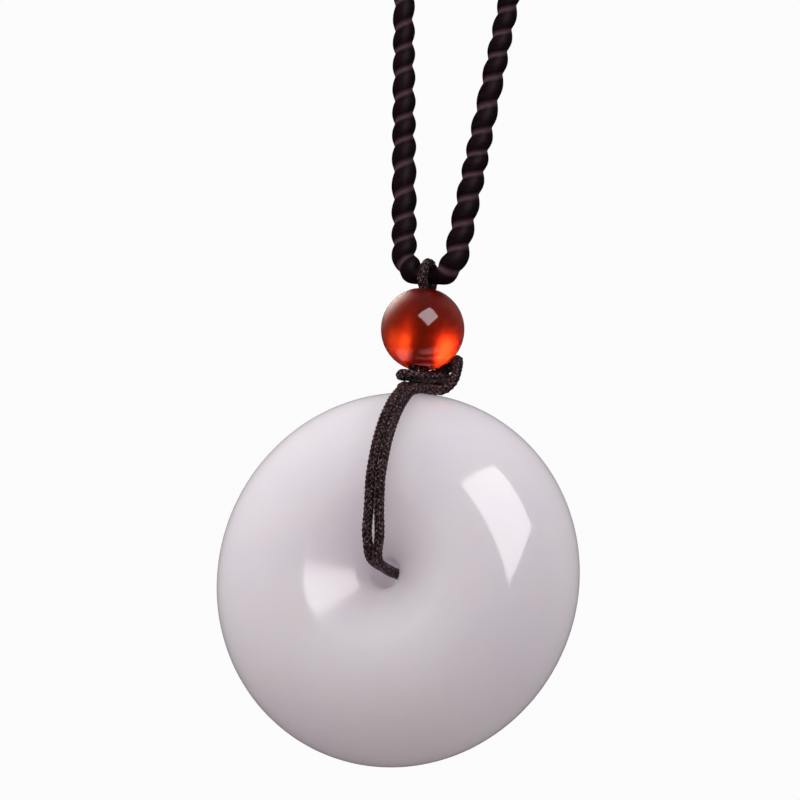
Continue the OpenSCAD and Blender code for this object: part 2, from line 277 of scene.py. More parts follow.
class Strands:
    """Rods that are gathered into one mesh, each with its own turn of the UV map."""

    def __init__(self):
        self.points, self.faces, self.uvs = [], [], []

    def add(self, line, outward, half_out, half_side, sides, closed, shift=0.0, wound=None, groove=0.0):
        """A rod along a line: half_out thick towards outward and half_side across, in millimetres.

        A groove may wind round it: wound is its angle at each cross-section, groove its depth as a share.
        """
        count = len(line)
        wound = np.zeros(count + 1) if wound is None else wound
        ways = headings(line, closed)
        outward = unit(outward - np.sum(outward * ways, axis=1, keepdims=True) * ways)
        across = np.cross(ways, outward)
        angles = math.pi + 2 * math.pi * np.arange(sides) / sides
        crest = np.abs(np.sin((angles[None, :] - wound[:-1, None]) / 2))
        half_out = np.broadcast_to(half_out, count)[:, None, None]
        half_side = np.broadcast_to(half_side, count)[:, None, None]
        rings = line[:, None, :] + (1 - groove + groove * crest)[:, :, None] * (
            half_out * outward[:, None, :] * np.cos(angles)[None, :, None]
            + half_side * across[:, None, :] * np.sin(angles)[None, :, None])
        first = sum(len(p) for p in self.points)
        self.points.append(rings.reshape(-1, 3))
        here = np.arange(count if closed else count - 1)
        after = (here + 1) % count
        k = np.arange(sides)
        m = (k + 1) % sides
        quads = np.stack([(here * sides)[:, None] + k, (here * sides)[:, None] + m,
                          (after * sides)[:, None] + m, (after * sides)[:, None] + k], axis=-1)
        self.faces.append(quads.reshape(-1, 4) + first)
        step = np.linalg.norm(np.diff(line, axis=0, append=line[:1] if closed else line[-1:]), axis=1)
        along = np.concatenate([[0.0], np.cumsum(step)]) + shift
        uv = np.empty((len(here), sides, 4, 2))
        uv[..., 0] = (np.stack([k, k + 1, k + 1, k], axis=-1) / sides
                      + self._at_corners(0.5 - wound / (2 * math.pi), here))
        uv[..., 1] = self._at_corners(along, here)
        self.uvs.append(uv.reshape(-1, 2))
        if not closed:
            self._cap(first, list(range(sides - 1, -1, -1)))
            self._cap(first, [(count - 1) * sides + i for i in range(sides)])

    def _at_corners(self, values, here):
        """Values of the cross-sections, at the corners of each face from one cross-section to the next."""
        near, far = values[here], values[here + 1]
        return np.stack([near, near, far, far], axis=-1)[:, None, :]

    def _cap(self, first, corners):
        """Closes an open end with a fan of quads and triangles."""
        corners = [first + c for c in corners]
        for i in range(1, len(corners) - 1, 2):
            quad = [corners[0], corners[i], corners[i + 1], corners[min(i + 2, len(corners) - 1)]]
            self.faces.append(np.array([quad]))
            self.uvs.append(np.zeros((4, 2)))

    def made(self, name):
        """The object that holds all the rods, in metres."""
        mesh = bpy.data.meshes.new(name)
        points = np.vstack(self.points) * MM
        faces = [tuple(dict.fromkeys(face)) for face in np.vstack(self.faces).tolist()]
        mesh.from_pydata(points.tolist(), [], faces)
        uv = np.vstack(self.uvs).reshape(-1, 4, 2)
        layer = mesh.uv_layers.new(name="Fibre")
        kept = np.concatenate([uv[i][: len(face)] for i, face in enumerate(faces)])
        layer.data.foreach_set("uv", kept.reshape(-1))
        mesh.polygons.foreach_set("use_smooth", [True] * len(mesh.polygons))
        mesh.validate()
        obj = bpy.data.objects.new(name, mesh)
        bpy.context.scene.collection.objects.link(obj)
        return obj


# Materials

class Wire:
    """One number on its way through the nodes."""

    def __init__(self, nodes, socket):
        self.nodes, self.socket = nodes, socket

    def __add__(self, other):
        return self.nodes.maths("ADD", self, other)

    def __mul__(self, other):
        return self.nodes.maths("MULTIPLY", self, other)

    __radd__, __rmul__ = __add__, __mul__


class Nodes:
    """A tree that is built up node by node."""

    def __init__(self, tree):
        self.tree = tree
        tree.nodes.clear()

    def node(self, kind, settings=None, sockets=None, output=0):
        """A node of a kind, its settings first, then the value or link of each of its sockets."""
        node = self.tree.nodes.new("ShaderNode" + kind)
        for name, value in (settings or {}).items():
            if name == "stops":
                self._set_stops(node.color_ramp, value)
            else:
                setattr(node, name, value)
        for name, value in (sockets or {}).items():
            self.feed(node.inputs[name], value)
        return Wire(self, node.outputs[output])

    def feed(self, socket, value):
        """Links a wire to a socket, or sets the socket's own value."""
        if isinstance(value, Wire):
            self.tree.links.new(value.socket, socket)
        else:
            socket.default_value = value

    def _set_stops(self, ramp, stops):
        """Gives a ramp its stops, each a place and a colour or a grey."""
        while len(ramp.elements) < len(stops):
            ramp.elements.new(1.0)
        for element, (place, shade) in zip(ramp.elements, stops):
            element.position = place
            element.color = (*shade, 1.0) if isinstance(shade, tuple) else (shade, shade, shade, 1.0)

    def ramp(self, value, *stops):
        """A ramp of greys or colours."""
        return self.node("ValToRGB", {"stops": stops}, {0: value})

    def maths(self, operation, *values):
        """A Math node on wires and numbers."""
        return self.node("Math", {"operation": operation}, dict(enumerate(values)))


class Finish(Nodes):
    """A material round one Principled shader."""

    def __init__(self, name, **constants):
        self.material = bpy.data.materials.new(name)
        self.material.use_nodes = True
        super().__init__(self.material.node_tree)
        self.shader = self.tree.nodes.new("ShaderNodeBsdfPrincipled")
        output = self.tree.nodes.new("ShaderNodeOutputMaterial")
        self.tree.links.new(self.shader.outputs[0], output.inputs[0])
        for socket, value in constants.items():
            self.shader.inputs[socket.replace("_", " ")].default_value = value

    def mixed(self, share, one, other):
        """A colour between two others.

        The Mix node has several sockets of one name, so its factor, two colours and result go by number.
        """
        one, other = (shade if isinstance(shade, Wire) else (*shade, 1.0) for shade in (one, other))
        return self.node("Mix", {"data_type": "RGBA"}, {0: share, 6: one, 7: other}, output=2)

    def place(self, source, scale=(1.0, 1.0, 1.0), turn=(0.0, 0.0, 0.0), shift=(0.0, 0.0, 0.0)):
        """Coordinates, moved, turned and scaled. The source is Object or UV."""
        coordinates = self.node("TexCoord", output=source)
        return self.node("Mapping", None,
                         {"Vector": coordinates, "Location": shift, "Rotation": turn, "Scale": scale})

    def noise(self, vector, scale, detail=2.0, roughness=0.5, distortion=0.0):
        """Soft noise from 0 to 1."""
        return self.node("TexNoise", {"noise_dimensions": "3D"},
                         {"Vector": vector, "Scale": scale, "Detail": detail, "Roughness": roughness,
                          "Distortion": distortion})

    def bump(self, height, depth, strength=1.0):
        """A relief of the given depth in metres."""
        return self.node("Bump", None,
                         {"Height": height, "Distance": depth, "Strength": strength})

    def wear(self, obj, **varying):
        """Feeds what varies over the surface and puts the material on an object."""
        for socket, value in varying.items():
            self.feed(self.shader.inputs[socket.replace("_", " ")], value)
        obj.data.materials.clear()
        obj.data.materials.append(self.material)


def jade_finish(look):
    """Milky nephrite: light spreads in it, it is faintly clouded, and its high polish ripples a little."""
    jade = Finish("polished jade", Subsurface_Weight=1.0, Subsurface_Radius=(1.0, 0.92, 0.96),
                  Subsurface_Scale=25.0 * MM, IOR=1.61, Specular_IOR_Level=0.5)
    body = jade.place("Object")
    drift = jade.noise(body, scale=70.0, detail=3.0, distortion=0.6)
    flattened = jade.place("Object", scale=(1.0, 1.0, 1.7), shift=(0.3, 0.1, 0.2))
    veil = jade.noise(flattened, scale=120.0, detail=4.0)
    lilac = jade.mixed(jade.ramp(drift, (0.38, 0.0), (0.66, 1.0)), look.milk, look.cloud)
    shade = jade.mixed(jade.ramp(veil, (0.48, 0.0), (0.72, 0.8)), lilac, look.warm)
    polish = jade.noise(body, scale=900.0, detail=2.0)
    ripple = jade.noise(body, scale=260.0, detail=1.0)
    from_axis = jade.place("Object", scale=(1.0, 0.0, 1.0), shift=(0.0, 0.0, -look.height * MM))
    radius = jade.node("VectorMath", {"operation": "LENGTH"}, {0: from_axis}, output="Value")
    funnel = jade.ramp(radius * (1 / CM), (0.70, 0.15), (0.90, 0.0))
    return jade, dict(Base_Color=shade, Roughness=0.07 + 0.04 * polish + funnel,
                      Normal=jade.bump(ripple, 0.012 * MM))


def agate_finish(look):
    """Translucent carnelian: a clear polish over a body that blurs and reddens what shines through it."""
    agate = Finish("translucent agate", Transmission_Weight=0.86, IOR=1.54,
                   Coat_Weight=1.0, Coat_Roughness=0.02, Coat_IOR=1.6,
                   Specular_IOR_Level=0.5, Specular_Tint=(0.45, 0.03, 0.01, 1.0))
    body = agate.place("Object", turn=(0.5, 0.3, 0.0))
    haze = agate.noise(body, scale=260.0, detail=3.0, distortion=0.4)
    shade = agate.mixed(agate.ramp(haze, (0.35, 0.0), (0.7, 1.0)), look.ember, look.flame)
    return agate, dict(Base_Color=shade, Roughness=0.40 + 0.08 * haze)


def cord_finish(name, look, fibres, slant, gloss, fleck, shine=0.35, pale=None):
    """Silky nylon: fine fibres that run aslant round each strand, with painted highlights: light flecks
    where the fibres stand proud and on random spots, for the glints of light on the silk.

    fibres is their number round the strand, fleck the share of the random glint spots among them, and pale
    the colour of a painted sheen band along a groove, which lies where the UV map's round begins.
    """
    cord = Finish(name, Specular_IOR_Level=shine, Specular_Tint=(0.92, 0.68, 0.74, 1.0))
    along = cord.place("UV", scale=(fibres, 0.55, 1.0), turn=(0.0, 0.0, slant))
    fibre = cord.noise(along, scale=1.0, detail=3.0, roughness=0.6)
    # Painted highlight: the fibres that stand proud and random spots are coloured lighter, for the glints
    # of light on the silk
    glint_spots = cord.noise(cord.place("Object"), scale=5200.0, detail=2.0)
    proud = cord.ramp(fibre, (0.38, 0.0), (0.72, 1.0))
    flecks = cord.ramp(glint_spots, (0.54, 0.0), (0.68, 1.0))
    shade = cord.mixed(proud * (1 - fleck) * 0.5 + flecks * fleck, look.dark, look.light)
    if pale:
        # Painted sheen: a pale band along the groove stands for the light caught by the edges of the twist
        uv = cord.node("TexCoord", output="UV")
        turned = cord.maths("FRACT", cord.node("SeparateXYZ", None, {0: uv}))
        groove = cord.ramp(turned, (0.0, 0.8), (0.17, 0.0), (0.83, 0.0), (1.0, 0.8))
        shade = cord.mixed(groove, shade, pale)
    relief = cord.bump(fibre, 0.035 * MM, strength=0.7)
    return cord, dict(Base_Color=shade, Roughness=gloss + 0.22 * fibre, Normal=relief)


# Modelling by hand

def edit_new(add, name, **where):
    """Adds a primitive with everything else deselected and opens it for editing."""
    bpy.ops.object.select_all(action="DESELECT")
    add(**where)
    obj = bpy.context.object
    obj.name = obj.data.name = name
    bpy.ops.object.mode_set(mode="EDIT")
    bpy.ops.mesh.select_mode(type="VERT")
    bpy.ops.mesh.select_all(action="DESELECT")
    return obj


def pick(obj, wanted):
    """Selects the vertices for which wanted(vertex, place) is true."""
    mesh = bmesh.from_edit_mesh(obj.data)
    for vertex in mesh.verts:
        vertex.select_set(bool(wanted(vertex, obj.matrix_world @ vertex.co)))
    mesh.select_flush_mode()
    bmesh.update_edit_mesh(obj.data)
    if not any(vertex.select for vertex in mesh.verts):
        raise RuntimeError(f"nothing of {obj.name} was selected")


def close_edit():
    """Merges what meets, turns the faces outwards, leaves edit mode and puts the object at the origin."""
    bpy.ops.mesh.select_all(action="SELECT")
    bpy.ops.mesh.remove_doubles(threshold=0.002 * MM)
    bpy.ops.mesh.normals_make_consistent(inside=False)
    bpy.ops.object.mode_set(mode="OBJECT")
    bpy.ops.object.transform_apply(location=True, rotation=True, scale=True)
    bpy.ops.object.shade_smooth()


def dress(obj, body, slot, node, finish, varying):
    """Gives a piece its material and its body, and hides the CAD node that it stands for."""
    finish.wear(obj, **varying)
    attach(obj, body)
    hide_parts(node)


class PENDANT_OT_jade_disc(bpy.types.Operator):
    """Turns the jade disc from its section: two domes, two funnels and a hole"""

    bl_idname = "pendant.jade_disc"
    bl_label = "Jade Disc"

    def execute(self, context):
        look = context.scene.pendant_disc
        cord = context.scene.pendant_hanging_cord
        height = look.height * MM
        front = self.front_half(look, cord.diameter + cord.gap / 2 + look.hole_play)
        section = front + [(r, -y) for r, y in front[-2::-1]]
        disc = edit_new(bpy.ops.mesh.primitive_plane_add, "jade_disc", size=MM, location=(0.0, 0.0, height))
        self.keep_first_corner(disc)
        corner = next(iter(bmesh.from_edit_mesh(disc.data).verts)).co.copy()
        start = Vector((section[0][0] * MM, -section[0][1] * MM, 0.0))
        bpy.ops.transform.translate(value=start - corner)
        for (r, y), (next_r, next_y) in zip(section, section[1:]):
            bpy.ops.mesh.extrude_region_move(
                TRANSFORM_OT_translate={"value": ((next_r - r) * MM, (y - next_y) * MM, 0.0)})
        pick(disc, lambda vertex, place: place.x < (section[0][0] + NEAR) * MM)
        bpy.ops.mesh.edge_face_add()
        bpy.ops.mesh.select_all(action="SELECT")
        bpy.ops.mesh.spin(steps=look.turns, angle=2 * math.pi,
                          center=(0.0, 0.0, height), axis=(0.0, 1.0, 0.0))
        close_edit()
        dress(disc, "disc", "jade", "jade_disc", *jade_finish(look))
        return {"FINISHED"}

    def keep_first_corner(self, disc):
        """Deletes three corners of the plane and selects the one that is left, to draw the section from."""
        pick(disc, lambda vertex, place: vertex.index > 0)
        bpy.ops.mesh.delete(type="VERT")
        pick(disc, lambda vertex, place: True)

    def front_half(self, look, hole_r):
        """The section in front of the middle plane, from the hole over the funnel and dome to the rim."""
        crown_r, half_t = look.crown_d / 2, look.thickness / 2
        shoulder = (crown_r, half_t - look.shoulder_r)
        throat = (hole_r + look.throat_r, half_t - look.funnel_depth)
        across, up = shoulder[0] - throat[0], shoulder[1] - throat[1]
        slope = (math.atan2(up, across)
                 + math.asin((look.shoulder_r - look.throat_r) / math.hypot(across, up)))
        share = np.linspace(0.0, 1.0, look.steps + 1)
        throat_turn = math.pi / 2 + (slope - math.pi / 2) * share
        shoulder_turn = slope * (1 - share)
        dome_turn = math.pi / 2 * share[1:]
        radii = np.concatenate([throat[0] - look.throat_r * np.sin(throat_turn),
                                shoulder[0] - look.shoulder_r * np.sin(shoulder_turn),
                                crown_r + (look.diameter / 2 - crown_r) * np.sin(dome_turn)])
        depths = np.concatenate([throat[1] + look.throat_r * np.cos(throat_turn),
                                 shoulder[1] + look.shoulder_r * np.cos(shoulder_turn),
                                 half_t * np.cos(dome_turn)])
        return list(zip(radii.tolist(), depths.tolist()))


# How much wider than its lips a hole is cut in the bead, in millimetres, and how far a lip falls away into
# the bore, as a share of its width
CUT_MARGIN = 0.02
LIP_FALL = 1.6


class PENDANT_OT_agate_bead(bpy.types.Operator):
    """Models the round agate bead with its bore and rounded lips"""

    bl_idname = "pendant.agate_bead"
    bl_label = "Agate Bead"

    def execute(self, context):
        look = context.scene.pendant_bead
        cord = context.scene.pendant_hanging_cord
        radius, bore_r = look.diameter / 2, cord.diameter + cord.gap / 2 + look.bore_play
        centre = Vector((0.0, 0.0, look.height * MM))
        bead = edit_new(bpy.ops.mesh.primitive_uv_sphere_add, "agate_bead", segments=look.segments,
                        ring_count=look.rings, radius=radius * MM, location=centre)
        lip_r = bore_r + look.lip
        lip_z = math.sqrt(radius ** 2 - lip_r ** 2)
        pick(bead, lambda vertex, place: place.xy.length < (lip_r + CUT_MARGIN) * MM)
        bpy.ops.mesh.delete(type="VERT")
        for end in (1, -1):
            self.round_lip(bead, centre, end, bore_r, lip_r, lip_z)
        pick(bead, lambda vertex, place: place.xy.length < (bore_r + NEAR) * MM)
        bpy.ops.mesh.select_mode(type="EDGE")
        bpy.ops.mesh.bridge_edge_loops()
        bpy.ops.mesh.select_mode(type="VERT")
        close_edit()
        dress(bead, "hanger", "agate", "agate_bead", *agate_finish(look))
        return {"FINISHED"}

    def round_lip(self, bead, centre, end, bore_r, lip_r, lip_z):
        """Pulls the edge of one opening in to the lip's radius and rolls it over into the bore."""
        pick(bead, lambda vertex, place: vertex.is_boundary and vertex.co.z * end > 0)
        edge = [vertex for vertex in bmesh.from_edit_mesh(bead.data).verts if vertex.select]
        edge_r = max(math.sqrt(v.co.x ** 2 + v.co.y ** 2) for v in edge) / MM
        edge_z = edge[-1].co.z / MM * end
        width = lip_r - bore_r
        steps = [(lip_r, lip_z)] + [
            (bore_r + width * (1 - math.sin(turn)), lip_z - width * LIP_FALL * (1 - math.cos(turn)))
            for turn in (math.radians(degree) for degree in (30, 60, 90))]
        for ring_r, ring_z in steps:
            bpy.ops.mesh.extrude_region_move(
                TRANSFORM_OT_translate={"value": (0.0, 0.0, end * (ring_z - edge_z) * MM)})
            share = ring_r / edge_r
            bpy.ops.transform.resize(value=(share, share, 1.0), center_override=centre)
            edge_r, edge_z = ring_r, ring_z


# The hanging cord's route. Places are in cord pitches, and a level runs from 0 at the rim to 1 at the bead.
# The hitch, from the left strand's end to the right one's
HITCH = [
    [-0.38, -2.15, 0.01], [-0.50, -1.45, -0.02], [-0.88, -0.75, -0.02], [-1.32, 0.00, 0.00],
    [-1.60, 0.80, 0.06], [-1.62, 1.68, 0.26], [-1.04, 2.50, 0.50], [0.00, 2.80, 0.55],
    [0.95, 2.74, 0.48], [1.70, 2.35, 0.40], [2.16, 1.65, 0.46], [2.36, 0.85, 0.60],
    [2.18, 0.10, 0.64], [1.62, -0.60, 0.63], [0.84, -1.14, 0.66], [0.00, -1.34, 0.72],
    [-0.86, -1.12, 0.80], [-1.38, -0.42, 0.79], [-1.44, 0.42, 0.85], [-1.16, 1.15, 0.93],
    [-0.45, 1.58, 0.99], [0.45, 1.72, 1.01], [1.38, 1.78, 1.04], [2.15, 1.62, 1.07],
    [2.74, 1.20, 1.07], [3.20, 0.62, 1.01], [3.48, 0.00, 0.72], [3.48, -0.72, 0.30],
    [2.88, -1.34, 0.03], [1.98, -1.72, -0.02], [1.12, -2.10, 0.01],
]
# The pair in the bead: its turn in degrees, and its height as a share of the bead's radius
IN_BEAD = [[90, 0.60], [86, 0.24], [76, -0.14], [63, -0.52], [50, -0.90]]
# The pair between the bead and the back of the disc: y, level and turn
STANDING = [
    [0.02, 1.45, 42], [0.14, 1.05, 31], [0.44, 0.74, 15], [0.95, 0.41, 4], [1.64, 0.14, 0], [2.40, 0.02, 0],
]
# A strand from the hole to the crown: shares of the way out and up, of the spread, the slit and the lift
BRIDGE = [
    [0.200, 0.000, 0.00, 0.0, 0.0], [0.450, 0.010, 0.10, 0.0, 0.1], [0.652, 0.025, 0.40, 0.1, 0.6],
    [0.790, 0.080, 0.85, 0.0, 1.0], [0.845, 0.170, 1.00, 0.2, 1.0], [0.880, 0.360, 1.00, 1.0, 0.5],
    [0.940, 0.660, 1.00, 0.15, 0.1],
]
# Where the strands' points lie over the dome, as shares of the way from the crown to the hitch
DOME_STOPS = [0, 0.12, 0.33, 0.54, 0.72, 0.87, 1]
# How far from the middle plane the strands leave the dome for the hitch, in cord pitches, and the most that
# this may be of half the disc's thickness
HITCH_FOOT = 2.6
HITCH_FOOT_MOST = 0.9
# Where the strands enter the hole, as a share of its straight wall
MOUTH_SHARE = 0.75
# How close the front strands lie, as a share of the pair's spacing
FRONT_CLOSE = 0.89
# The loop over the neck cord runs so many degrees to each side of the top, with a point at each step
WRAP_TURN = 115
WRAP_STEP = 23
# The loop's feet: how far they stand in the bead's mouth, below the neck cord and out in the bore's room
LOOP_FOOT_SHARE = 0.28
LOOP_FOOT_REACH = 1.05
LOOP_FOOT_ASIDE = 0.65
# The least share of its height that the dome is taken to have, so that its slope stays finite at the edge
DOME_LEAST = 0.04
# Steps from one point of the route to the next
ROUTE_STEPS = 12
# Corners of a braided strand and of the core, and the shift of fibres from strand to strand
STRAND_SIDES = 6
CORE_SIDES = 8
FIBRE_SHIFT = 3.7


class Route:
    """The hanging cord's way: through the bead, down the back, through the hole, up and round the hitch."""

    def __init__(self, disc, bead, cord, neck):
        self.disc_r, self.half_t, self.crown_r = disc.diameter / 2, disc.thickness / 2, disc.crown_d / 2
        self.wall_y = self.half_t - disc.funnel_depth
        self.bead, self.bead_r = bead, bead.diameter / 2
        self.cord, self.gap = cord, cord.gap
        self.pitch = cord.diameter + cord.gap
        self.pair_x = self.pitch / 2
        self.pair_r = self.pair_x + cord.diameter / 2
        self.lay = cord.diameter / 2 + cord.gap
        self.hole_reach = self.pair_r + disc.hole_play - self.lay
        self.turned_x = self.pair_x * math.cos(cord.mouth_turn)
        self.turned_drop = self.pitch * math.sin(cord.mouth_turn)
        self.knot_h = 2 * self.pitch
        self.waist_r = neck.diameter / 2 * neck.waist
        self.bead_mid = self.disc_r + self.knot_h + self.bead_r
        self.saddle_mid = self.bead_mid + self.bead_r + cord.saddle_play + self.waist_r

    def on_dome(self, turn):
        """A place over the dome, as a radius and a distance from the disc's middle plane."""
        wide, s, c = self.disc_r - self.crown_r, math.sin(turn), math.cos(turn)
        away = unit(np.array([s / wide, c / self.half_t]))
        return np.array([self.crown_r + wide * s, self.half_t * c]) + self.lay * away

    def on_disc(self, x, face, place, drop=0.0):
        """A point to one side of the middle, from a radius and a distance from the disc's middle plane."""
        return np.array([x, face * place[1], math.sqrt(max(0.0, place[0] ** 2 - x * x)) - drop])

    def between(self, x, y, level):
        """A place between the rim, at level 0, and the underside of the bead, at level 1."""
        wide = self.disc_r - self.crown_r
        flat = math.sqrt(max(DOME_LEAST, 1 - (y / self.half_t) ** 2))
        height = math.sqrt((self.crown_r + wide * flat) ** 2 - x * x)
        slope = wide * y / self.half_t ** 2 / flat
        low = height + self.lay * math.sqrt(1 + slope ** 2 + (x / height) ** 2)
        reach = self.bead_r + self.lay
        high = self.bead_mid - math.sqrt(max(reach ** 2 / 4, reach ** 2 - x * x - y * y))
        return np.array([x, y, low + (high - low) * level])

    def strand(self, side, face, foot_x, drop):
        """One strand from the hole to the rim: side is -1 or 1, and face is -1 in front and 1 behind."""
        front = 1 if face < 0 else 0
        near_x = self.pair_x * (FRONT_CLOSE if front else 1.0)
        rise = front * self.cord.left_lift if side < 0 else 0.0
        foot_z = math.sqrt(self.hole_reach ** 2 - foot_x ** 2) - drop
        points = []
        for out, up, spread, slit, lift in BRIDGE:
            x = foot_x + (near_x - foot_x) * spread + front * self.cord.front_slit / 2 * slit
            points.append(np.array([side * x - front * self.cord.crown_lean * up,
                                    face * (self.wall_y + (self.half_t + self.lay - self.wall_y) * out),
                                    foot_z + (self.crown_r - foot_z) * up + rise * lift]))
        last = math.acos(min(HITCH_FOOT_MOST, HITCH_FOOT * self.pitch / self.half_t))
        for stop in DOME_STOPS:
            turn = stop * last
            lean = self.cord.rim_lean * math.sin(turn) ** 2 - self.cord.crown_lean * math.cos(turn) ** 2
            points.append(self.on_disc(side * near_x + front * lean, face, self.on_dome(turn)))
        return points

    def in_hole(self, side, front_drop):
        """One strand inside the hole, from the back to the front."""
        place = [self.hole_reach, MOUTH_SHARE * self.wall_y]
        back = self.on_disc(side * self.pair_x, 1, place)
        front = self.on_disc(side * self.turned_x, -1, place, front_drop)
        return [back, (back + front) / 2, front]

    def standing(self, side):
        """A strand from the top of the bead down to the back of the rim."""
        def turned(degree):
            turn = math.radians(degree)
            return side * self.pair_x * math.cos(turn), side * self.pair_x * math.sin(turn)
        points = []
        for degree, share in IN_BEAD:
            points.append(np.array([*turned(degree), self.bead_mid + self.bead_r * share]))
        for back, level, degree in STANDING:
            x, y = turned(degree)
            points.append(self.between(x, back * self.pitch + y, level))
        return points

    def over_neck(self):
        """The loop over the neck cord, from the rear to the front."""
        wrap_r = self.waist_r + self.lay + self.gap / 2
        mouth_r = self.pair_r + self.bead.bore_play + self.bead.mouth_w
        mouth_z = math.sqrt(self.bead_r ** 2 - mouth_r ** 2)
        foot_y = self.pair_x + LOOP_FOOT_ASIDE * self.bead.bore_play
        foot_z = min(self.bead_mid + mouth_z - LOOP_FOOT_SHARE * self.bead.mouth_w,
                     self.saddle_mid - LOOP_FOOT_REACH * wrap_r)
        points = [np.array([0.0, foot_y, foot_z])]
        for degree in range(WRAP_TURN, -WRAP_TURN - 1, -WRAP_STEP):
            turn = math.radians(degree)
            away = wrap_r * np.array([0.0, math.sin(turn), math.cos(turn)])
            points.append(np.array([0.0, 0.0, self.saddle_mid]) + away)
        return points + [np.array([0.0, -foot_y, foot_z])]

    def half(self, side, drop):
        """One strand of the pair, from the top of the bead to the front of the rim."""
        return (self.standing(side) + self.strand(side, 1, self.pair_x, 0)[::-1] + self.in_hole(side, drop)
                + self.strand(side, -1, self.turned_x, drop))

    def points(self):
        """The whole route, over the disc's middle."""
        left, right = self.half(-1, 0), self.half(1, self.turned_drop)
        hitch = [self.between(x * self.pitch, y * self.pitch, level) for x, y, level in HITCH]
        end = left[0] + np.array([0.0, 0.0, 2 * self.gap])
        return left + hitch + right[::-1] + self.over_neck() + [end]


class PENDANT_OT_hanging_cord(bpy.types.Operator):
    """Braids the thin cord from strands that run both ways along its route"""

    bl_idname = "pendant.hanging_cord"
    bl_label = "Hanging Cord"

    def execute(self, context):
        scene = context.scene
        look = scene.pendant_hanging_cord
        route = Route(scene.pendant_disc, scene.pendant_bead, look, scene.pendant_neck_cord)
        line = curve_through(route.points(), ROUTE_STEPS) + np.array([0.0, 0.0, scene.pendant_disc.height])
        lays = evenly(line, 2)[1] / look.lay
        line, _ = evenly(line, round(lays * look.rows) + 1)
        outs, sides = carried_frames(line, (1.0, 0.0, 0.0))
        strands = Strands()
        rise = look.strand_t / 2
        middle_r = look.diameter / 2 - rise - look.strand_t / 2
        turn = 2 * math.pi * lays * np.linspace(0.0, 1.0, len(line))
        for hand in (1, -1):
            for k in range(look.each_way):
                angle = hand * turn + math.pi / look.each_way * (2 * k + (hand < 0))
                away = outs * np.cos(angle)[:, None] + sides * np.sin(angle)[:, None]
                reach = middle_r + rise * hand * np.sin(look.each_way / 2 * angle)
                strands.add(line + away * reach[:, None], away, look.strand_t / 2, look.strand_w / 2,
                            STRAND_SIDES, False, shift=FIBRE_SHIFT * k)
        core_r = middle_r - rise / 2
        strands.add(line, outs, core_r, core_r, CORE_SIDES, False)
        finish = cord_finish("thin braided cord", look, fibres=9.0, slant=0.0, gloss=0.34, fleck=0.85)
        dress(strands.made("hanging_cord"), "hanger", "thin_cord", "hanging_cord", *finish)
        return {"FINISHED"}


# Points along the loop's small and wide arcs
LOW_ARC_STEPS = 60
HIGH_ARC_STEPS = 160
# Height over the saddle, in millimetres, in which the twist tightens, and length on each side of the thin
# loop in which it gets back its width, as a share of the diameter
SLACK_REACH = 26.0
WAIST_REACH = 0.6
# How the groove sways: waves with their size in radians, their number round the loop and their start
SWAY = [(0.5, 41, 0.0), (0.35, 67, 1.0)]
# Cross-sections in one turn of the whipping's thread, and corners of the thread
THREAD_STEPS = 24
THREAD_SIDES = 8


class NeckLoop:
    """The neck cord's middle line: a small arc below, two leaning sides and a wide arc above."""

    def __init__(self, neck, join):
        lean, small = neck.side_lean, neck.saddle_r
        self.lean, self.small = lean, small
        apart = ((neck.loop_len - 2 * math.pi * small)
                 / (math.sin(lean) * (math.pi + 2 * lean) + 2 * math.cos(lean)))
        self.wide = small + apart * math.sin(lean)
        self.join_r = neck.diameter / 2 + neck.gap + join.wall
        self.top_z = self.join_r - self.wide
        self.low_z = self.top_z - apart

    def arc(self, height, radius, start, end, steps):
        """Points along an arc round a middle at a height."""
        turns = np.linspace(start, end, steps)
        return np.stack([radius * np.cos(turns), 0 * turns, height + radius * np.sin(turns)], axis=1)

    def points(self):
        """Points along both arcs. The straight sides run from one arc to the other."""
        low = self.arc(self.low_z, self.small, math.pi + self.lean, 2 * math.pi - self.lean, LOW_ARC_STEPS)
        high = self.arc(self.top_z, self.wide, -self.lean, math.pi + self.lean, HIGH_ARC_STEPS)
        return np.vstack([low, high])


class PENDANT_OT_neck_cord(bpy.types.Operator):
    """Twists the neck cord round its whole loop, with a ridge and a groove that wind round it"""

    bl_idname = "pendant.neck_cord"
    bl_label = "Neck Cord"

    def execute(self, context):
        look = context.scene.pendant_neck_cord
        cord = context.scene.pendant_hanging_cord
        loop = NeckLoop(look, context.scene.pendant_join)
        lays = round(look.loop_len / look.lay)
        line, _ = evenly(loop.points(), lays * look.rows, closed=True)
        outs, _ = carried_frames(line, (0.0, 1.0, 0.0), closed=True)
        tightening = ease((line[:, 2] - loop.low_z) / SLACK_REACH)
        width = look.slack + (look.tight - look.slack) * tightening
        off = np.linalg.norm(line - np.array([0.0, 0.0, loop.low_z - loop.small]), axis=1)
        widening = ease((off - cord.diameter / 2 - cord.gap) / (WAIST_REACH * look.diameter))
        radius = look.diameter / 2 * (look.waist + (width - look.waist) * widening)
        strands = Strands()
        strands.add(line, outs, radius, radius, look.sides, True,
                    wound=self.wound(len(line), lays), groove=look.groove)
        finish = cord_finish("twisted neck cord", look, fibres=16.0, slant=0.1, gloss=0.42, fleck=0.2,
                             shine=0.15, pale=look.pale)
        dress(strands.made("neck_cord"), "neck", "neck_cord", "neck_cord", *finish)
        return {"FINISHED"}

    def wound(self, rows, lays):
        """The groove's angle at each cross-section: even turns that sway a little, as in a soft twist."""
        turn = 2 * math.pi * np.arange(rows + 1) / rows
        return lays * turn + sum(size * np.sin(waves * turn + start) for size, waves, start in SWAY)


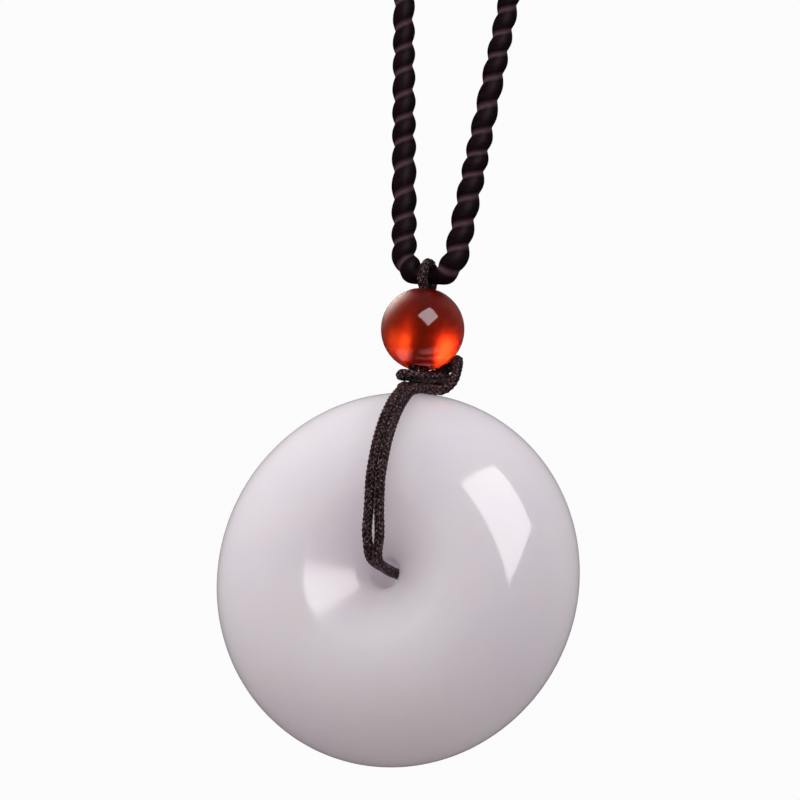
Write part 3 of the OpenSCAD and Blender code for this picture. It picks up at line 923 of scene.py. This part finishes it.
class PENDANT_OT_join(bpy.types.Operator):
    """Winds the whipping that joins the neck cord's ends"""

    bl_idname = "pendant.join"
    bl_label = "Whipped Join"

    def execute(self, context):
        look = context.scene.pendant_join
        neck = context.scene.pendant_neck_cord
        loop = NeckLoop(neck, look)
        half_turn = look.length / loop.wide / 2
        thread_r = look.thread / 2
        wind_r = loop.join_r - thread_r
        turns = math.floor(look.length / look.thread) - 1
        along = np.linspace(-1.0, 1.0, THREAD_STEPS * turns + 1)
        lean = half_turn * (1 - thread_r / look.length * 2) * along
        turn = math.pi * turns * along
        radial = np.stack([np.sin(lean), 0 * lean, np.cos(lean)], axis=1)
        aside = np.broadcast_to([0.0, 1.0, 0.0], radial.shape)
        middle_line = loop.wide * radial + np.array([0.0, 0.0, loop.top_z])
        away = radial * np.cos(turn)[:, None] + aside * np.sin(turn)[:, None]
        strands = Strands()
        strands.add(middle_line + wind_r * away, away, thread_r, thread_r, THREAD_SIDES, False)
        finish = cord_finish("wound thread", look, fibres=6.0, slant=0.5, gloss=0.30, fleck=0.3)
        dress(strands.made("cord_join"), "neck", "whipping", "cord_join", *finish)
        return {"FINISHED"}


# The lamps, in degrees and millimetres: azimuth, elevation and distance of where each stands, its size,
# radiance and tint, and the one kind of light that it gives. The window doesn't face the disc: its back has
# an azimuth and elevation of its own, and it is rolled.
LAMPS = [
    dict(name="window", stand=(37.8, 34.4, 441.0), size=(345.0, 290.0), radiance=4.7, tint=(1.0, 0.97, 1.0),
         gives="glossy", face=(15.3, 16.0), roll=50.2),
    dict(name="overhead", stand=(-50.0, 44.0, 600.0), size=(500.0, 400.0), radiance=2.1,
         tint=(1.0, 0.97, 0.99), gives="diffuse"),
    dict(name="glow", stand=(-127.0, 37.0, 300.0), size=(200.0, 160.0), radiance=12.5,
         tint=(1.0, 0.97, 0.85), gives="transmission", shape="ELLIPSE"),
    dict(name="back glow", stand=(-159.0, 42.0, 400.0), size=(800.0, 420.0), radiance=1.5,
         tint=(1.0, 0.97, 0.9), gives="transmission", shape="ELLIPSE"),
]
# The camera's sensor in millimetres, and in metres how near and far it sees and how far the floor reaches
SENSOR = 36.0
NEAREST, FARTHEST = 0.01, 60.0
FLOOR_RADIUS = 14.0


class PENDANT_OT_stage(bpy.types.Operator):
    """Sets the camera, the lights, the floor and what is seen behind"""

    bl_idname = "pendant.stage"
    bl_label = "Stage"

    def execute(self, context):
        look = context.scene.pendant_stage
        height = context.scene.pendant_disc.height * MM
        self.camera(context.scene, look, height)
        for lamp in LAMPS:
            self.softbox(height, **lamp)
        self.floor(look, height)
        self.world(context.scene, look)
        context.scene.view_settings.view_transform = "Standard"
        return {"FINISHED"}

    def aim(self, azimuth, elevation):
        """The direction from the object towards an azimuth from the front and an elevation."""
        return Vector((math.sin(azimuth) * math.cos(elevation), -math.cos(azimuth) * math.cos(elevation),
                       math.sin(elevation)))

    def facing(self, back, roll):
        """A matrix that looks against back, turned by roll."""
        across = Vector((0.0, 0.0, 1.0)).cross(back).normalized()
        up = back.cross(across)
        right = across * math.cos(roll) + up * math.sin(roll)
        return Matrix((right, back.cross(right), back)).transposed()

    def camera(self, scene, look, height):
        """The camera, at the photograph's angle of view."""
        back = self.aim(look.azimuth, look.elevation)
        level = self.facing(back, 0.0)
        aside = (level.col[0] * look.aim_right + level.col[1] * look.aim_up) * MM
        target = Vector((0.0, 0.0, height)) + aside
        data = bpy.data.cameras.new("camera")
        data.lens = look.lens
        data.sensor_width = SENSOR
        data.clip_start, data.clip_end = NEAREST, FARTHEST
        camera = bpy.data.objects.new("camera", data)
        camera.matrix_world = Matrix.Translation(target + back * look.distance * MM) @ (
            self.facing(back, look.roll).to_4x4())
        scene.collection.objects.link(camera)
        scene.camera = camera

    def softbox(self, height, name, stand, size, radiance, tint, gives, shape="RECTANGLE", face=None,
                roll=0.0):
        """An area light as LAMPS describes it, round a place at a height."""
        azimuth, elevation = math.radians(stand[0]), math.radians(stand[1])
        face = face or stand
        data = bpy.data.lights.new(name, "AREA")
        data.shape = shape
        data.size, data.size_y = size[0] * MM, size[1] * MM
        data.energy = radiance * math.pi * data.size * data.size_y
        data.color = tint
        light = bpy.data.objects.new(name, data)
        place = Vector((0.0, 0.0, height)) + self.aim(azimuth, elevation) * stand[2] * MM
        back = self.aim(math.radians(face[0]), math.radians(face[1]))
        light.matrix_world = Matrix.Translation(place) @ self.facing(back, math.radians(roll)).to_4x4()
        light.visible_camera = False
        for kind in ("diffuse", "glossy", "transmission"):
            setattr(light, "visible_" + kind, kind == gives)
        bpy.context.scene.collection.objects.link(light)

    def floor(self, look, height):
        """A plain pale floor far below, which neither lights the object nor shows in it."""
        bpy.ops.object.select_all(action="DESELECT")
        bpy.ops.mesh.primitive_circle_add(vertices=96, radius=FLOOR_RADIUS, fill_type="NGON",
                                          location=(0.0, 0.0, height - look.floor_drop * MM))
        floor = bpy.context.object
        floor.name = "floor"
        bpy.ops.object.transform_apply(location=True)
        paint = Finish("pale floor", Roughness=0.9, Specular_IOR_Level=0.2)
        grain = paint.noise(paint.place("Object"), scale=30.0)
        paint.wear(floor, Base_Color=paint.mixed(grain, look.floor_cloud, look.floor_paint))
        floor.visible_diffuse = False
        floor.visible_glossy = False
        floor.visible_transmission = False

    def world(self, scene, look):
        """Soft light from the room, a darker room for mirrored light, and a pale backdrop."""
        world = bpy.data.worlds.new("studio")
        world.use_nodes = True
        scene.world = world
        studio = Nodes(world.node_tree)
        place = studio.node("TexCoord", output="Generated")
        upward = studio.node("SeparateXYZ", None, {0: place}, output="Z")
        level = studio.node("MapRange", None, {"From Min": -1.0, "Value": upward})
        lit = self.room(studio, level, look.nadir, look.horizon, look.zenith)
        shown = self.room(studio, level, look.low_gloss, look.side_gloss, look.top_gloss)
        backdrop = studio.node("Background", None, {"Color": (*look.backdrop, 1.0)})
        for ray, background in (("Is Diffuse Ray", lit), ("Is Camera Ray", backdrop)):
            seen_by = studio.node("LightPath", output=ray)
            shown = studio.node("MixShader", None, {0: seen_by, 1: shown, 2: background})
        studio.feed(studio.tree.nodes.new("ShaderNodeOutputWorld").inputs[0], shown)

    def room(self, studio, level, low, side, top):
        """A room that shades from below over the sides to the top."""
        shade = studio.ramp(level, (0.0, tuple(low)), (0.5, tuple(side)), (1.0, tuple(top)))
        return studio.node("Background", None, {"Color": shade})


class PENDANT_PT_panel(bpy.types.Panel):
    """Lists the pieces of the pendant"""

    bl_idname = "PENDANT_PT_panel"
    bl_label = "Jade Disc Pendant"
    bl_space_type = "VIEW_3D"
    bl_region_type = "UI"
    bl_category = "Pendant"

    def draw(self, context):
        """Each piece's sizes and colours, with the button that makes it."""
        for name, _, operator in PIECES:
            box = self.layout.box()
            look = getattr(context.scene, name)
            for key in look.bl_rna.properties.keys():
                if key not in ("rna_type", "name"):
                    box.prop(look, key)
            box.operator(operator.bl_idname)


# In the order of making: where a scene keeps the sizes, their class, and the operator that uses them
PIECES = [
    ("pendant_stage", StageLook, PENDANT_OT_stage),
    ("pendant_neck_cord", NeckCordLook, PENDANT_OT_neck_cord),
    ("pendant_join", JoinLook, PENDANT_OT_join),
    ("pendant_hanging_cord", HangingCordLook, PENDANT_OT_hanging_cord),
    ("pendant_bead", BeadLook, PENDANT_OT_agate_bead),
    ("pendant_disc", DiscLook, PENDANT_OT_jade_disc),
]


def register():
    """Adds the sizes, the operators and the panel to Blender."""
    for name, look, operator in PIECES:
        bpy.utils.register_class(look)
        setattr(bpy.types.Scene, name, PointerProperty(type=look))
        bpy.utils.register_class(operator)
    bpy.utils.register_class(PENDANT_PT_panel)


def unregister():
    """Takes them out again."""
    bpy.utils.unregister_class(PENDANT_PT_panel)
    for name, look, operator in reversed(PIECES):
        bpy.utils.unregister_class(operator)
        delattr(bpy.types.Scene, name)
        bpy.utils.unregister_class(look)


def main():
    """Makes every piece and the stage."""
    register()
    for *_, operator in PIECES:
        group, name = operator.bl_idname.split(".")
        getattr(getattr(bpy.ops, group), name)()


if __name__ == "__main__":
    main()
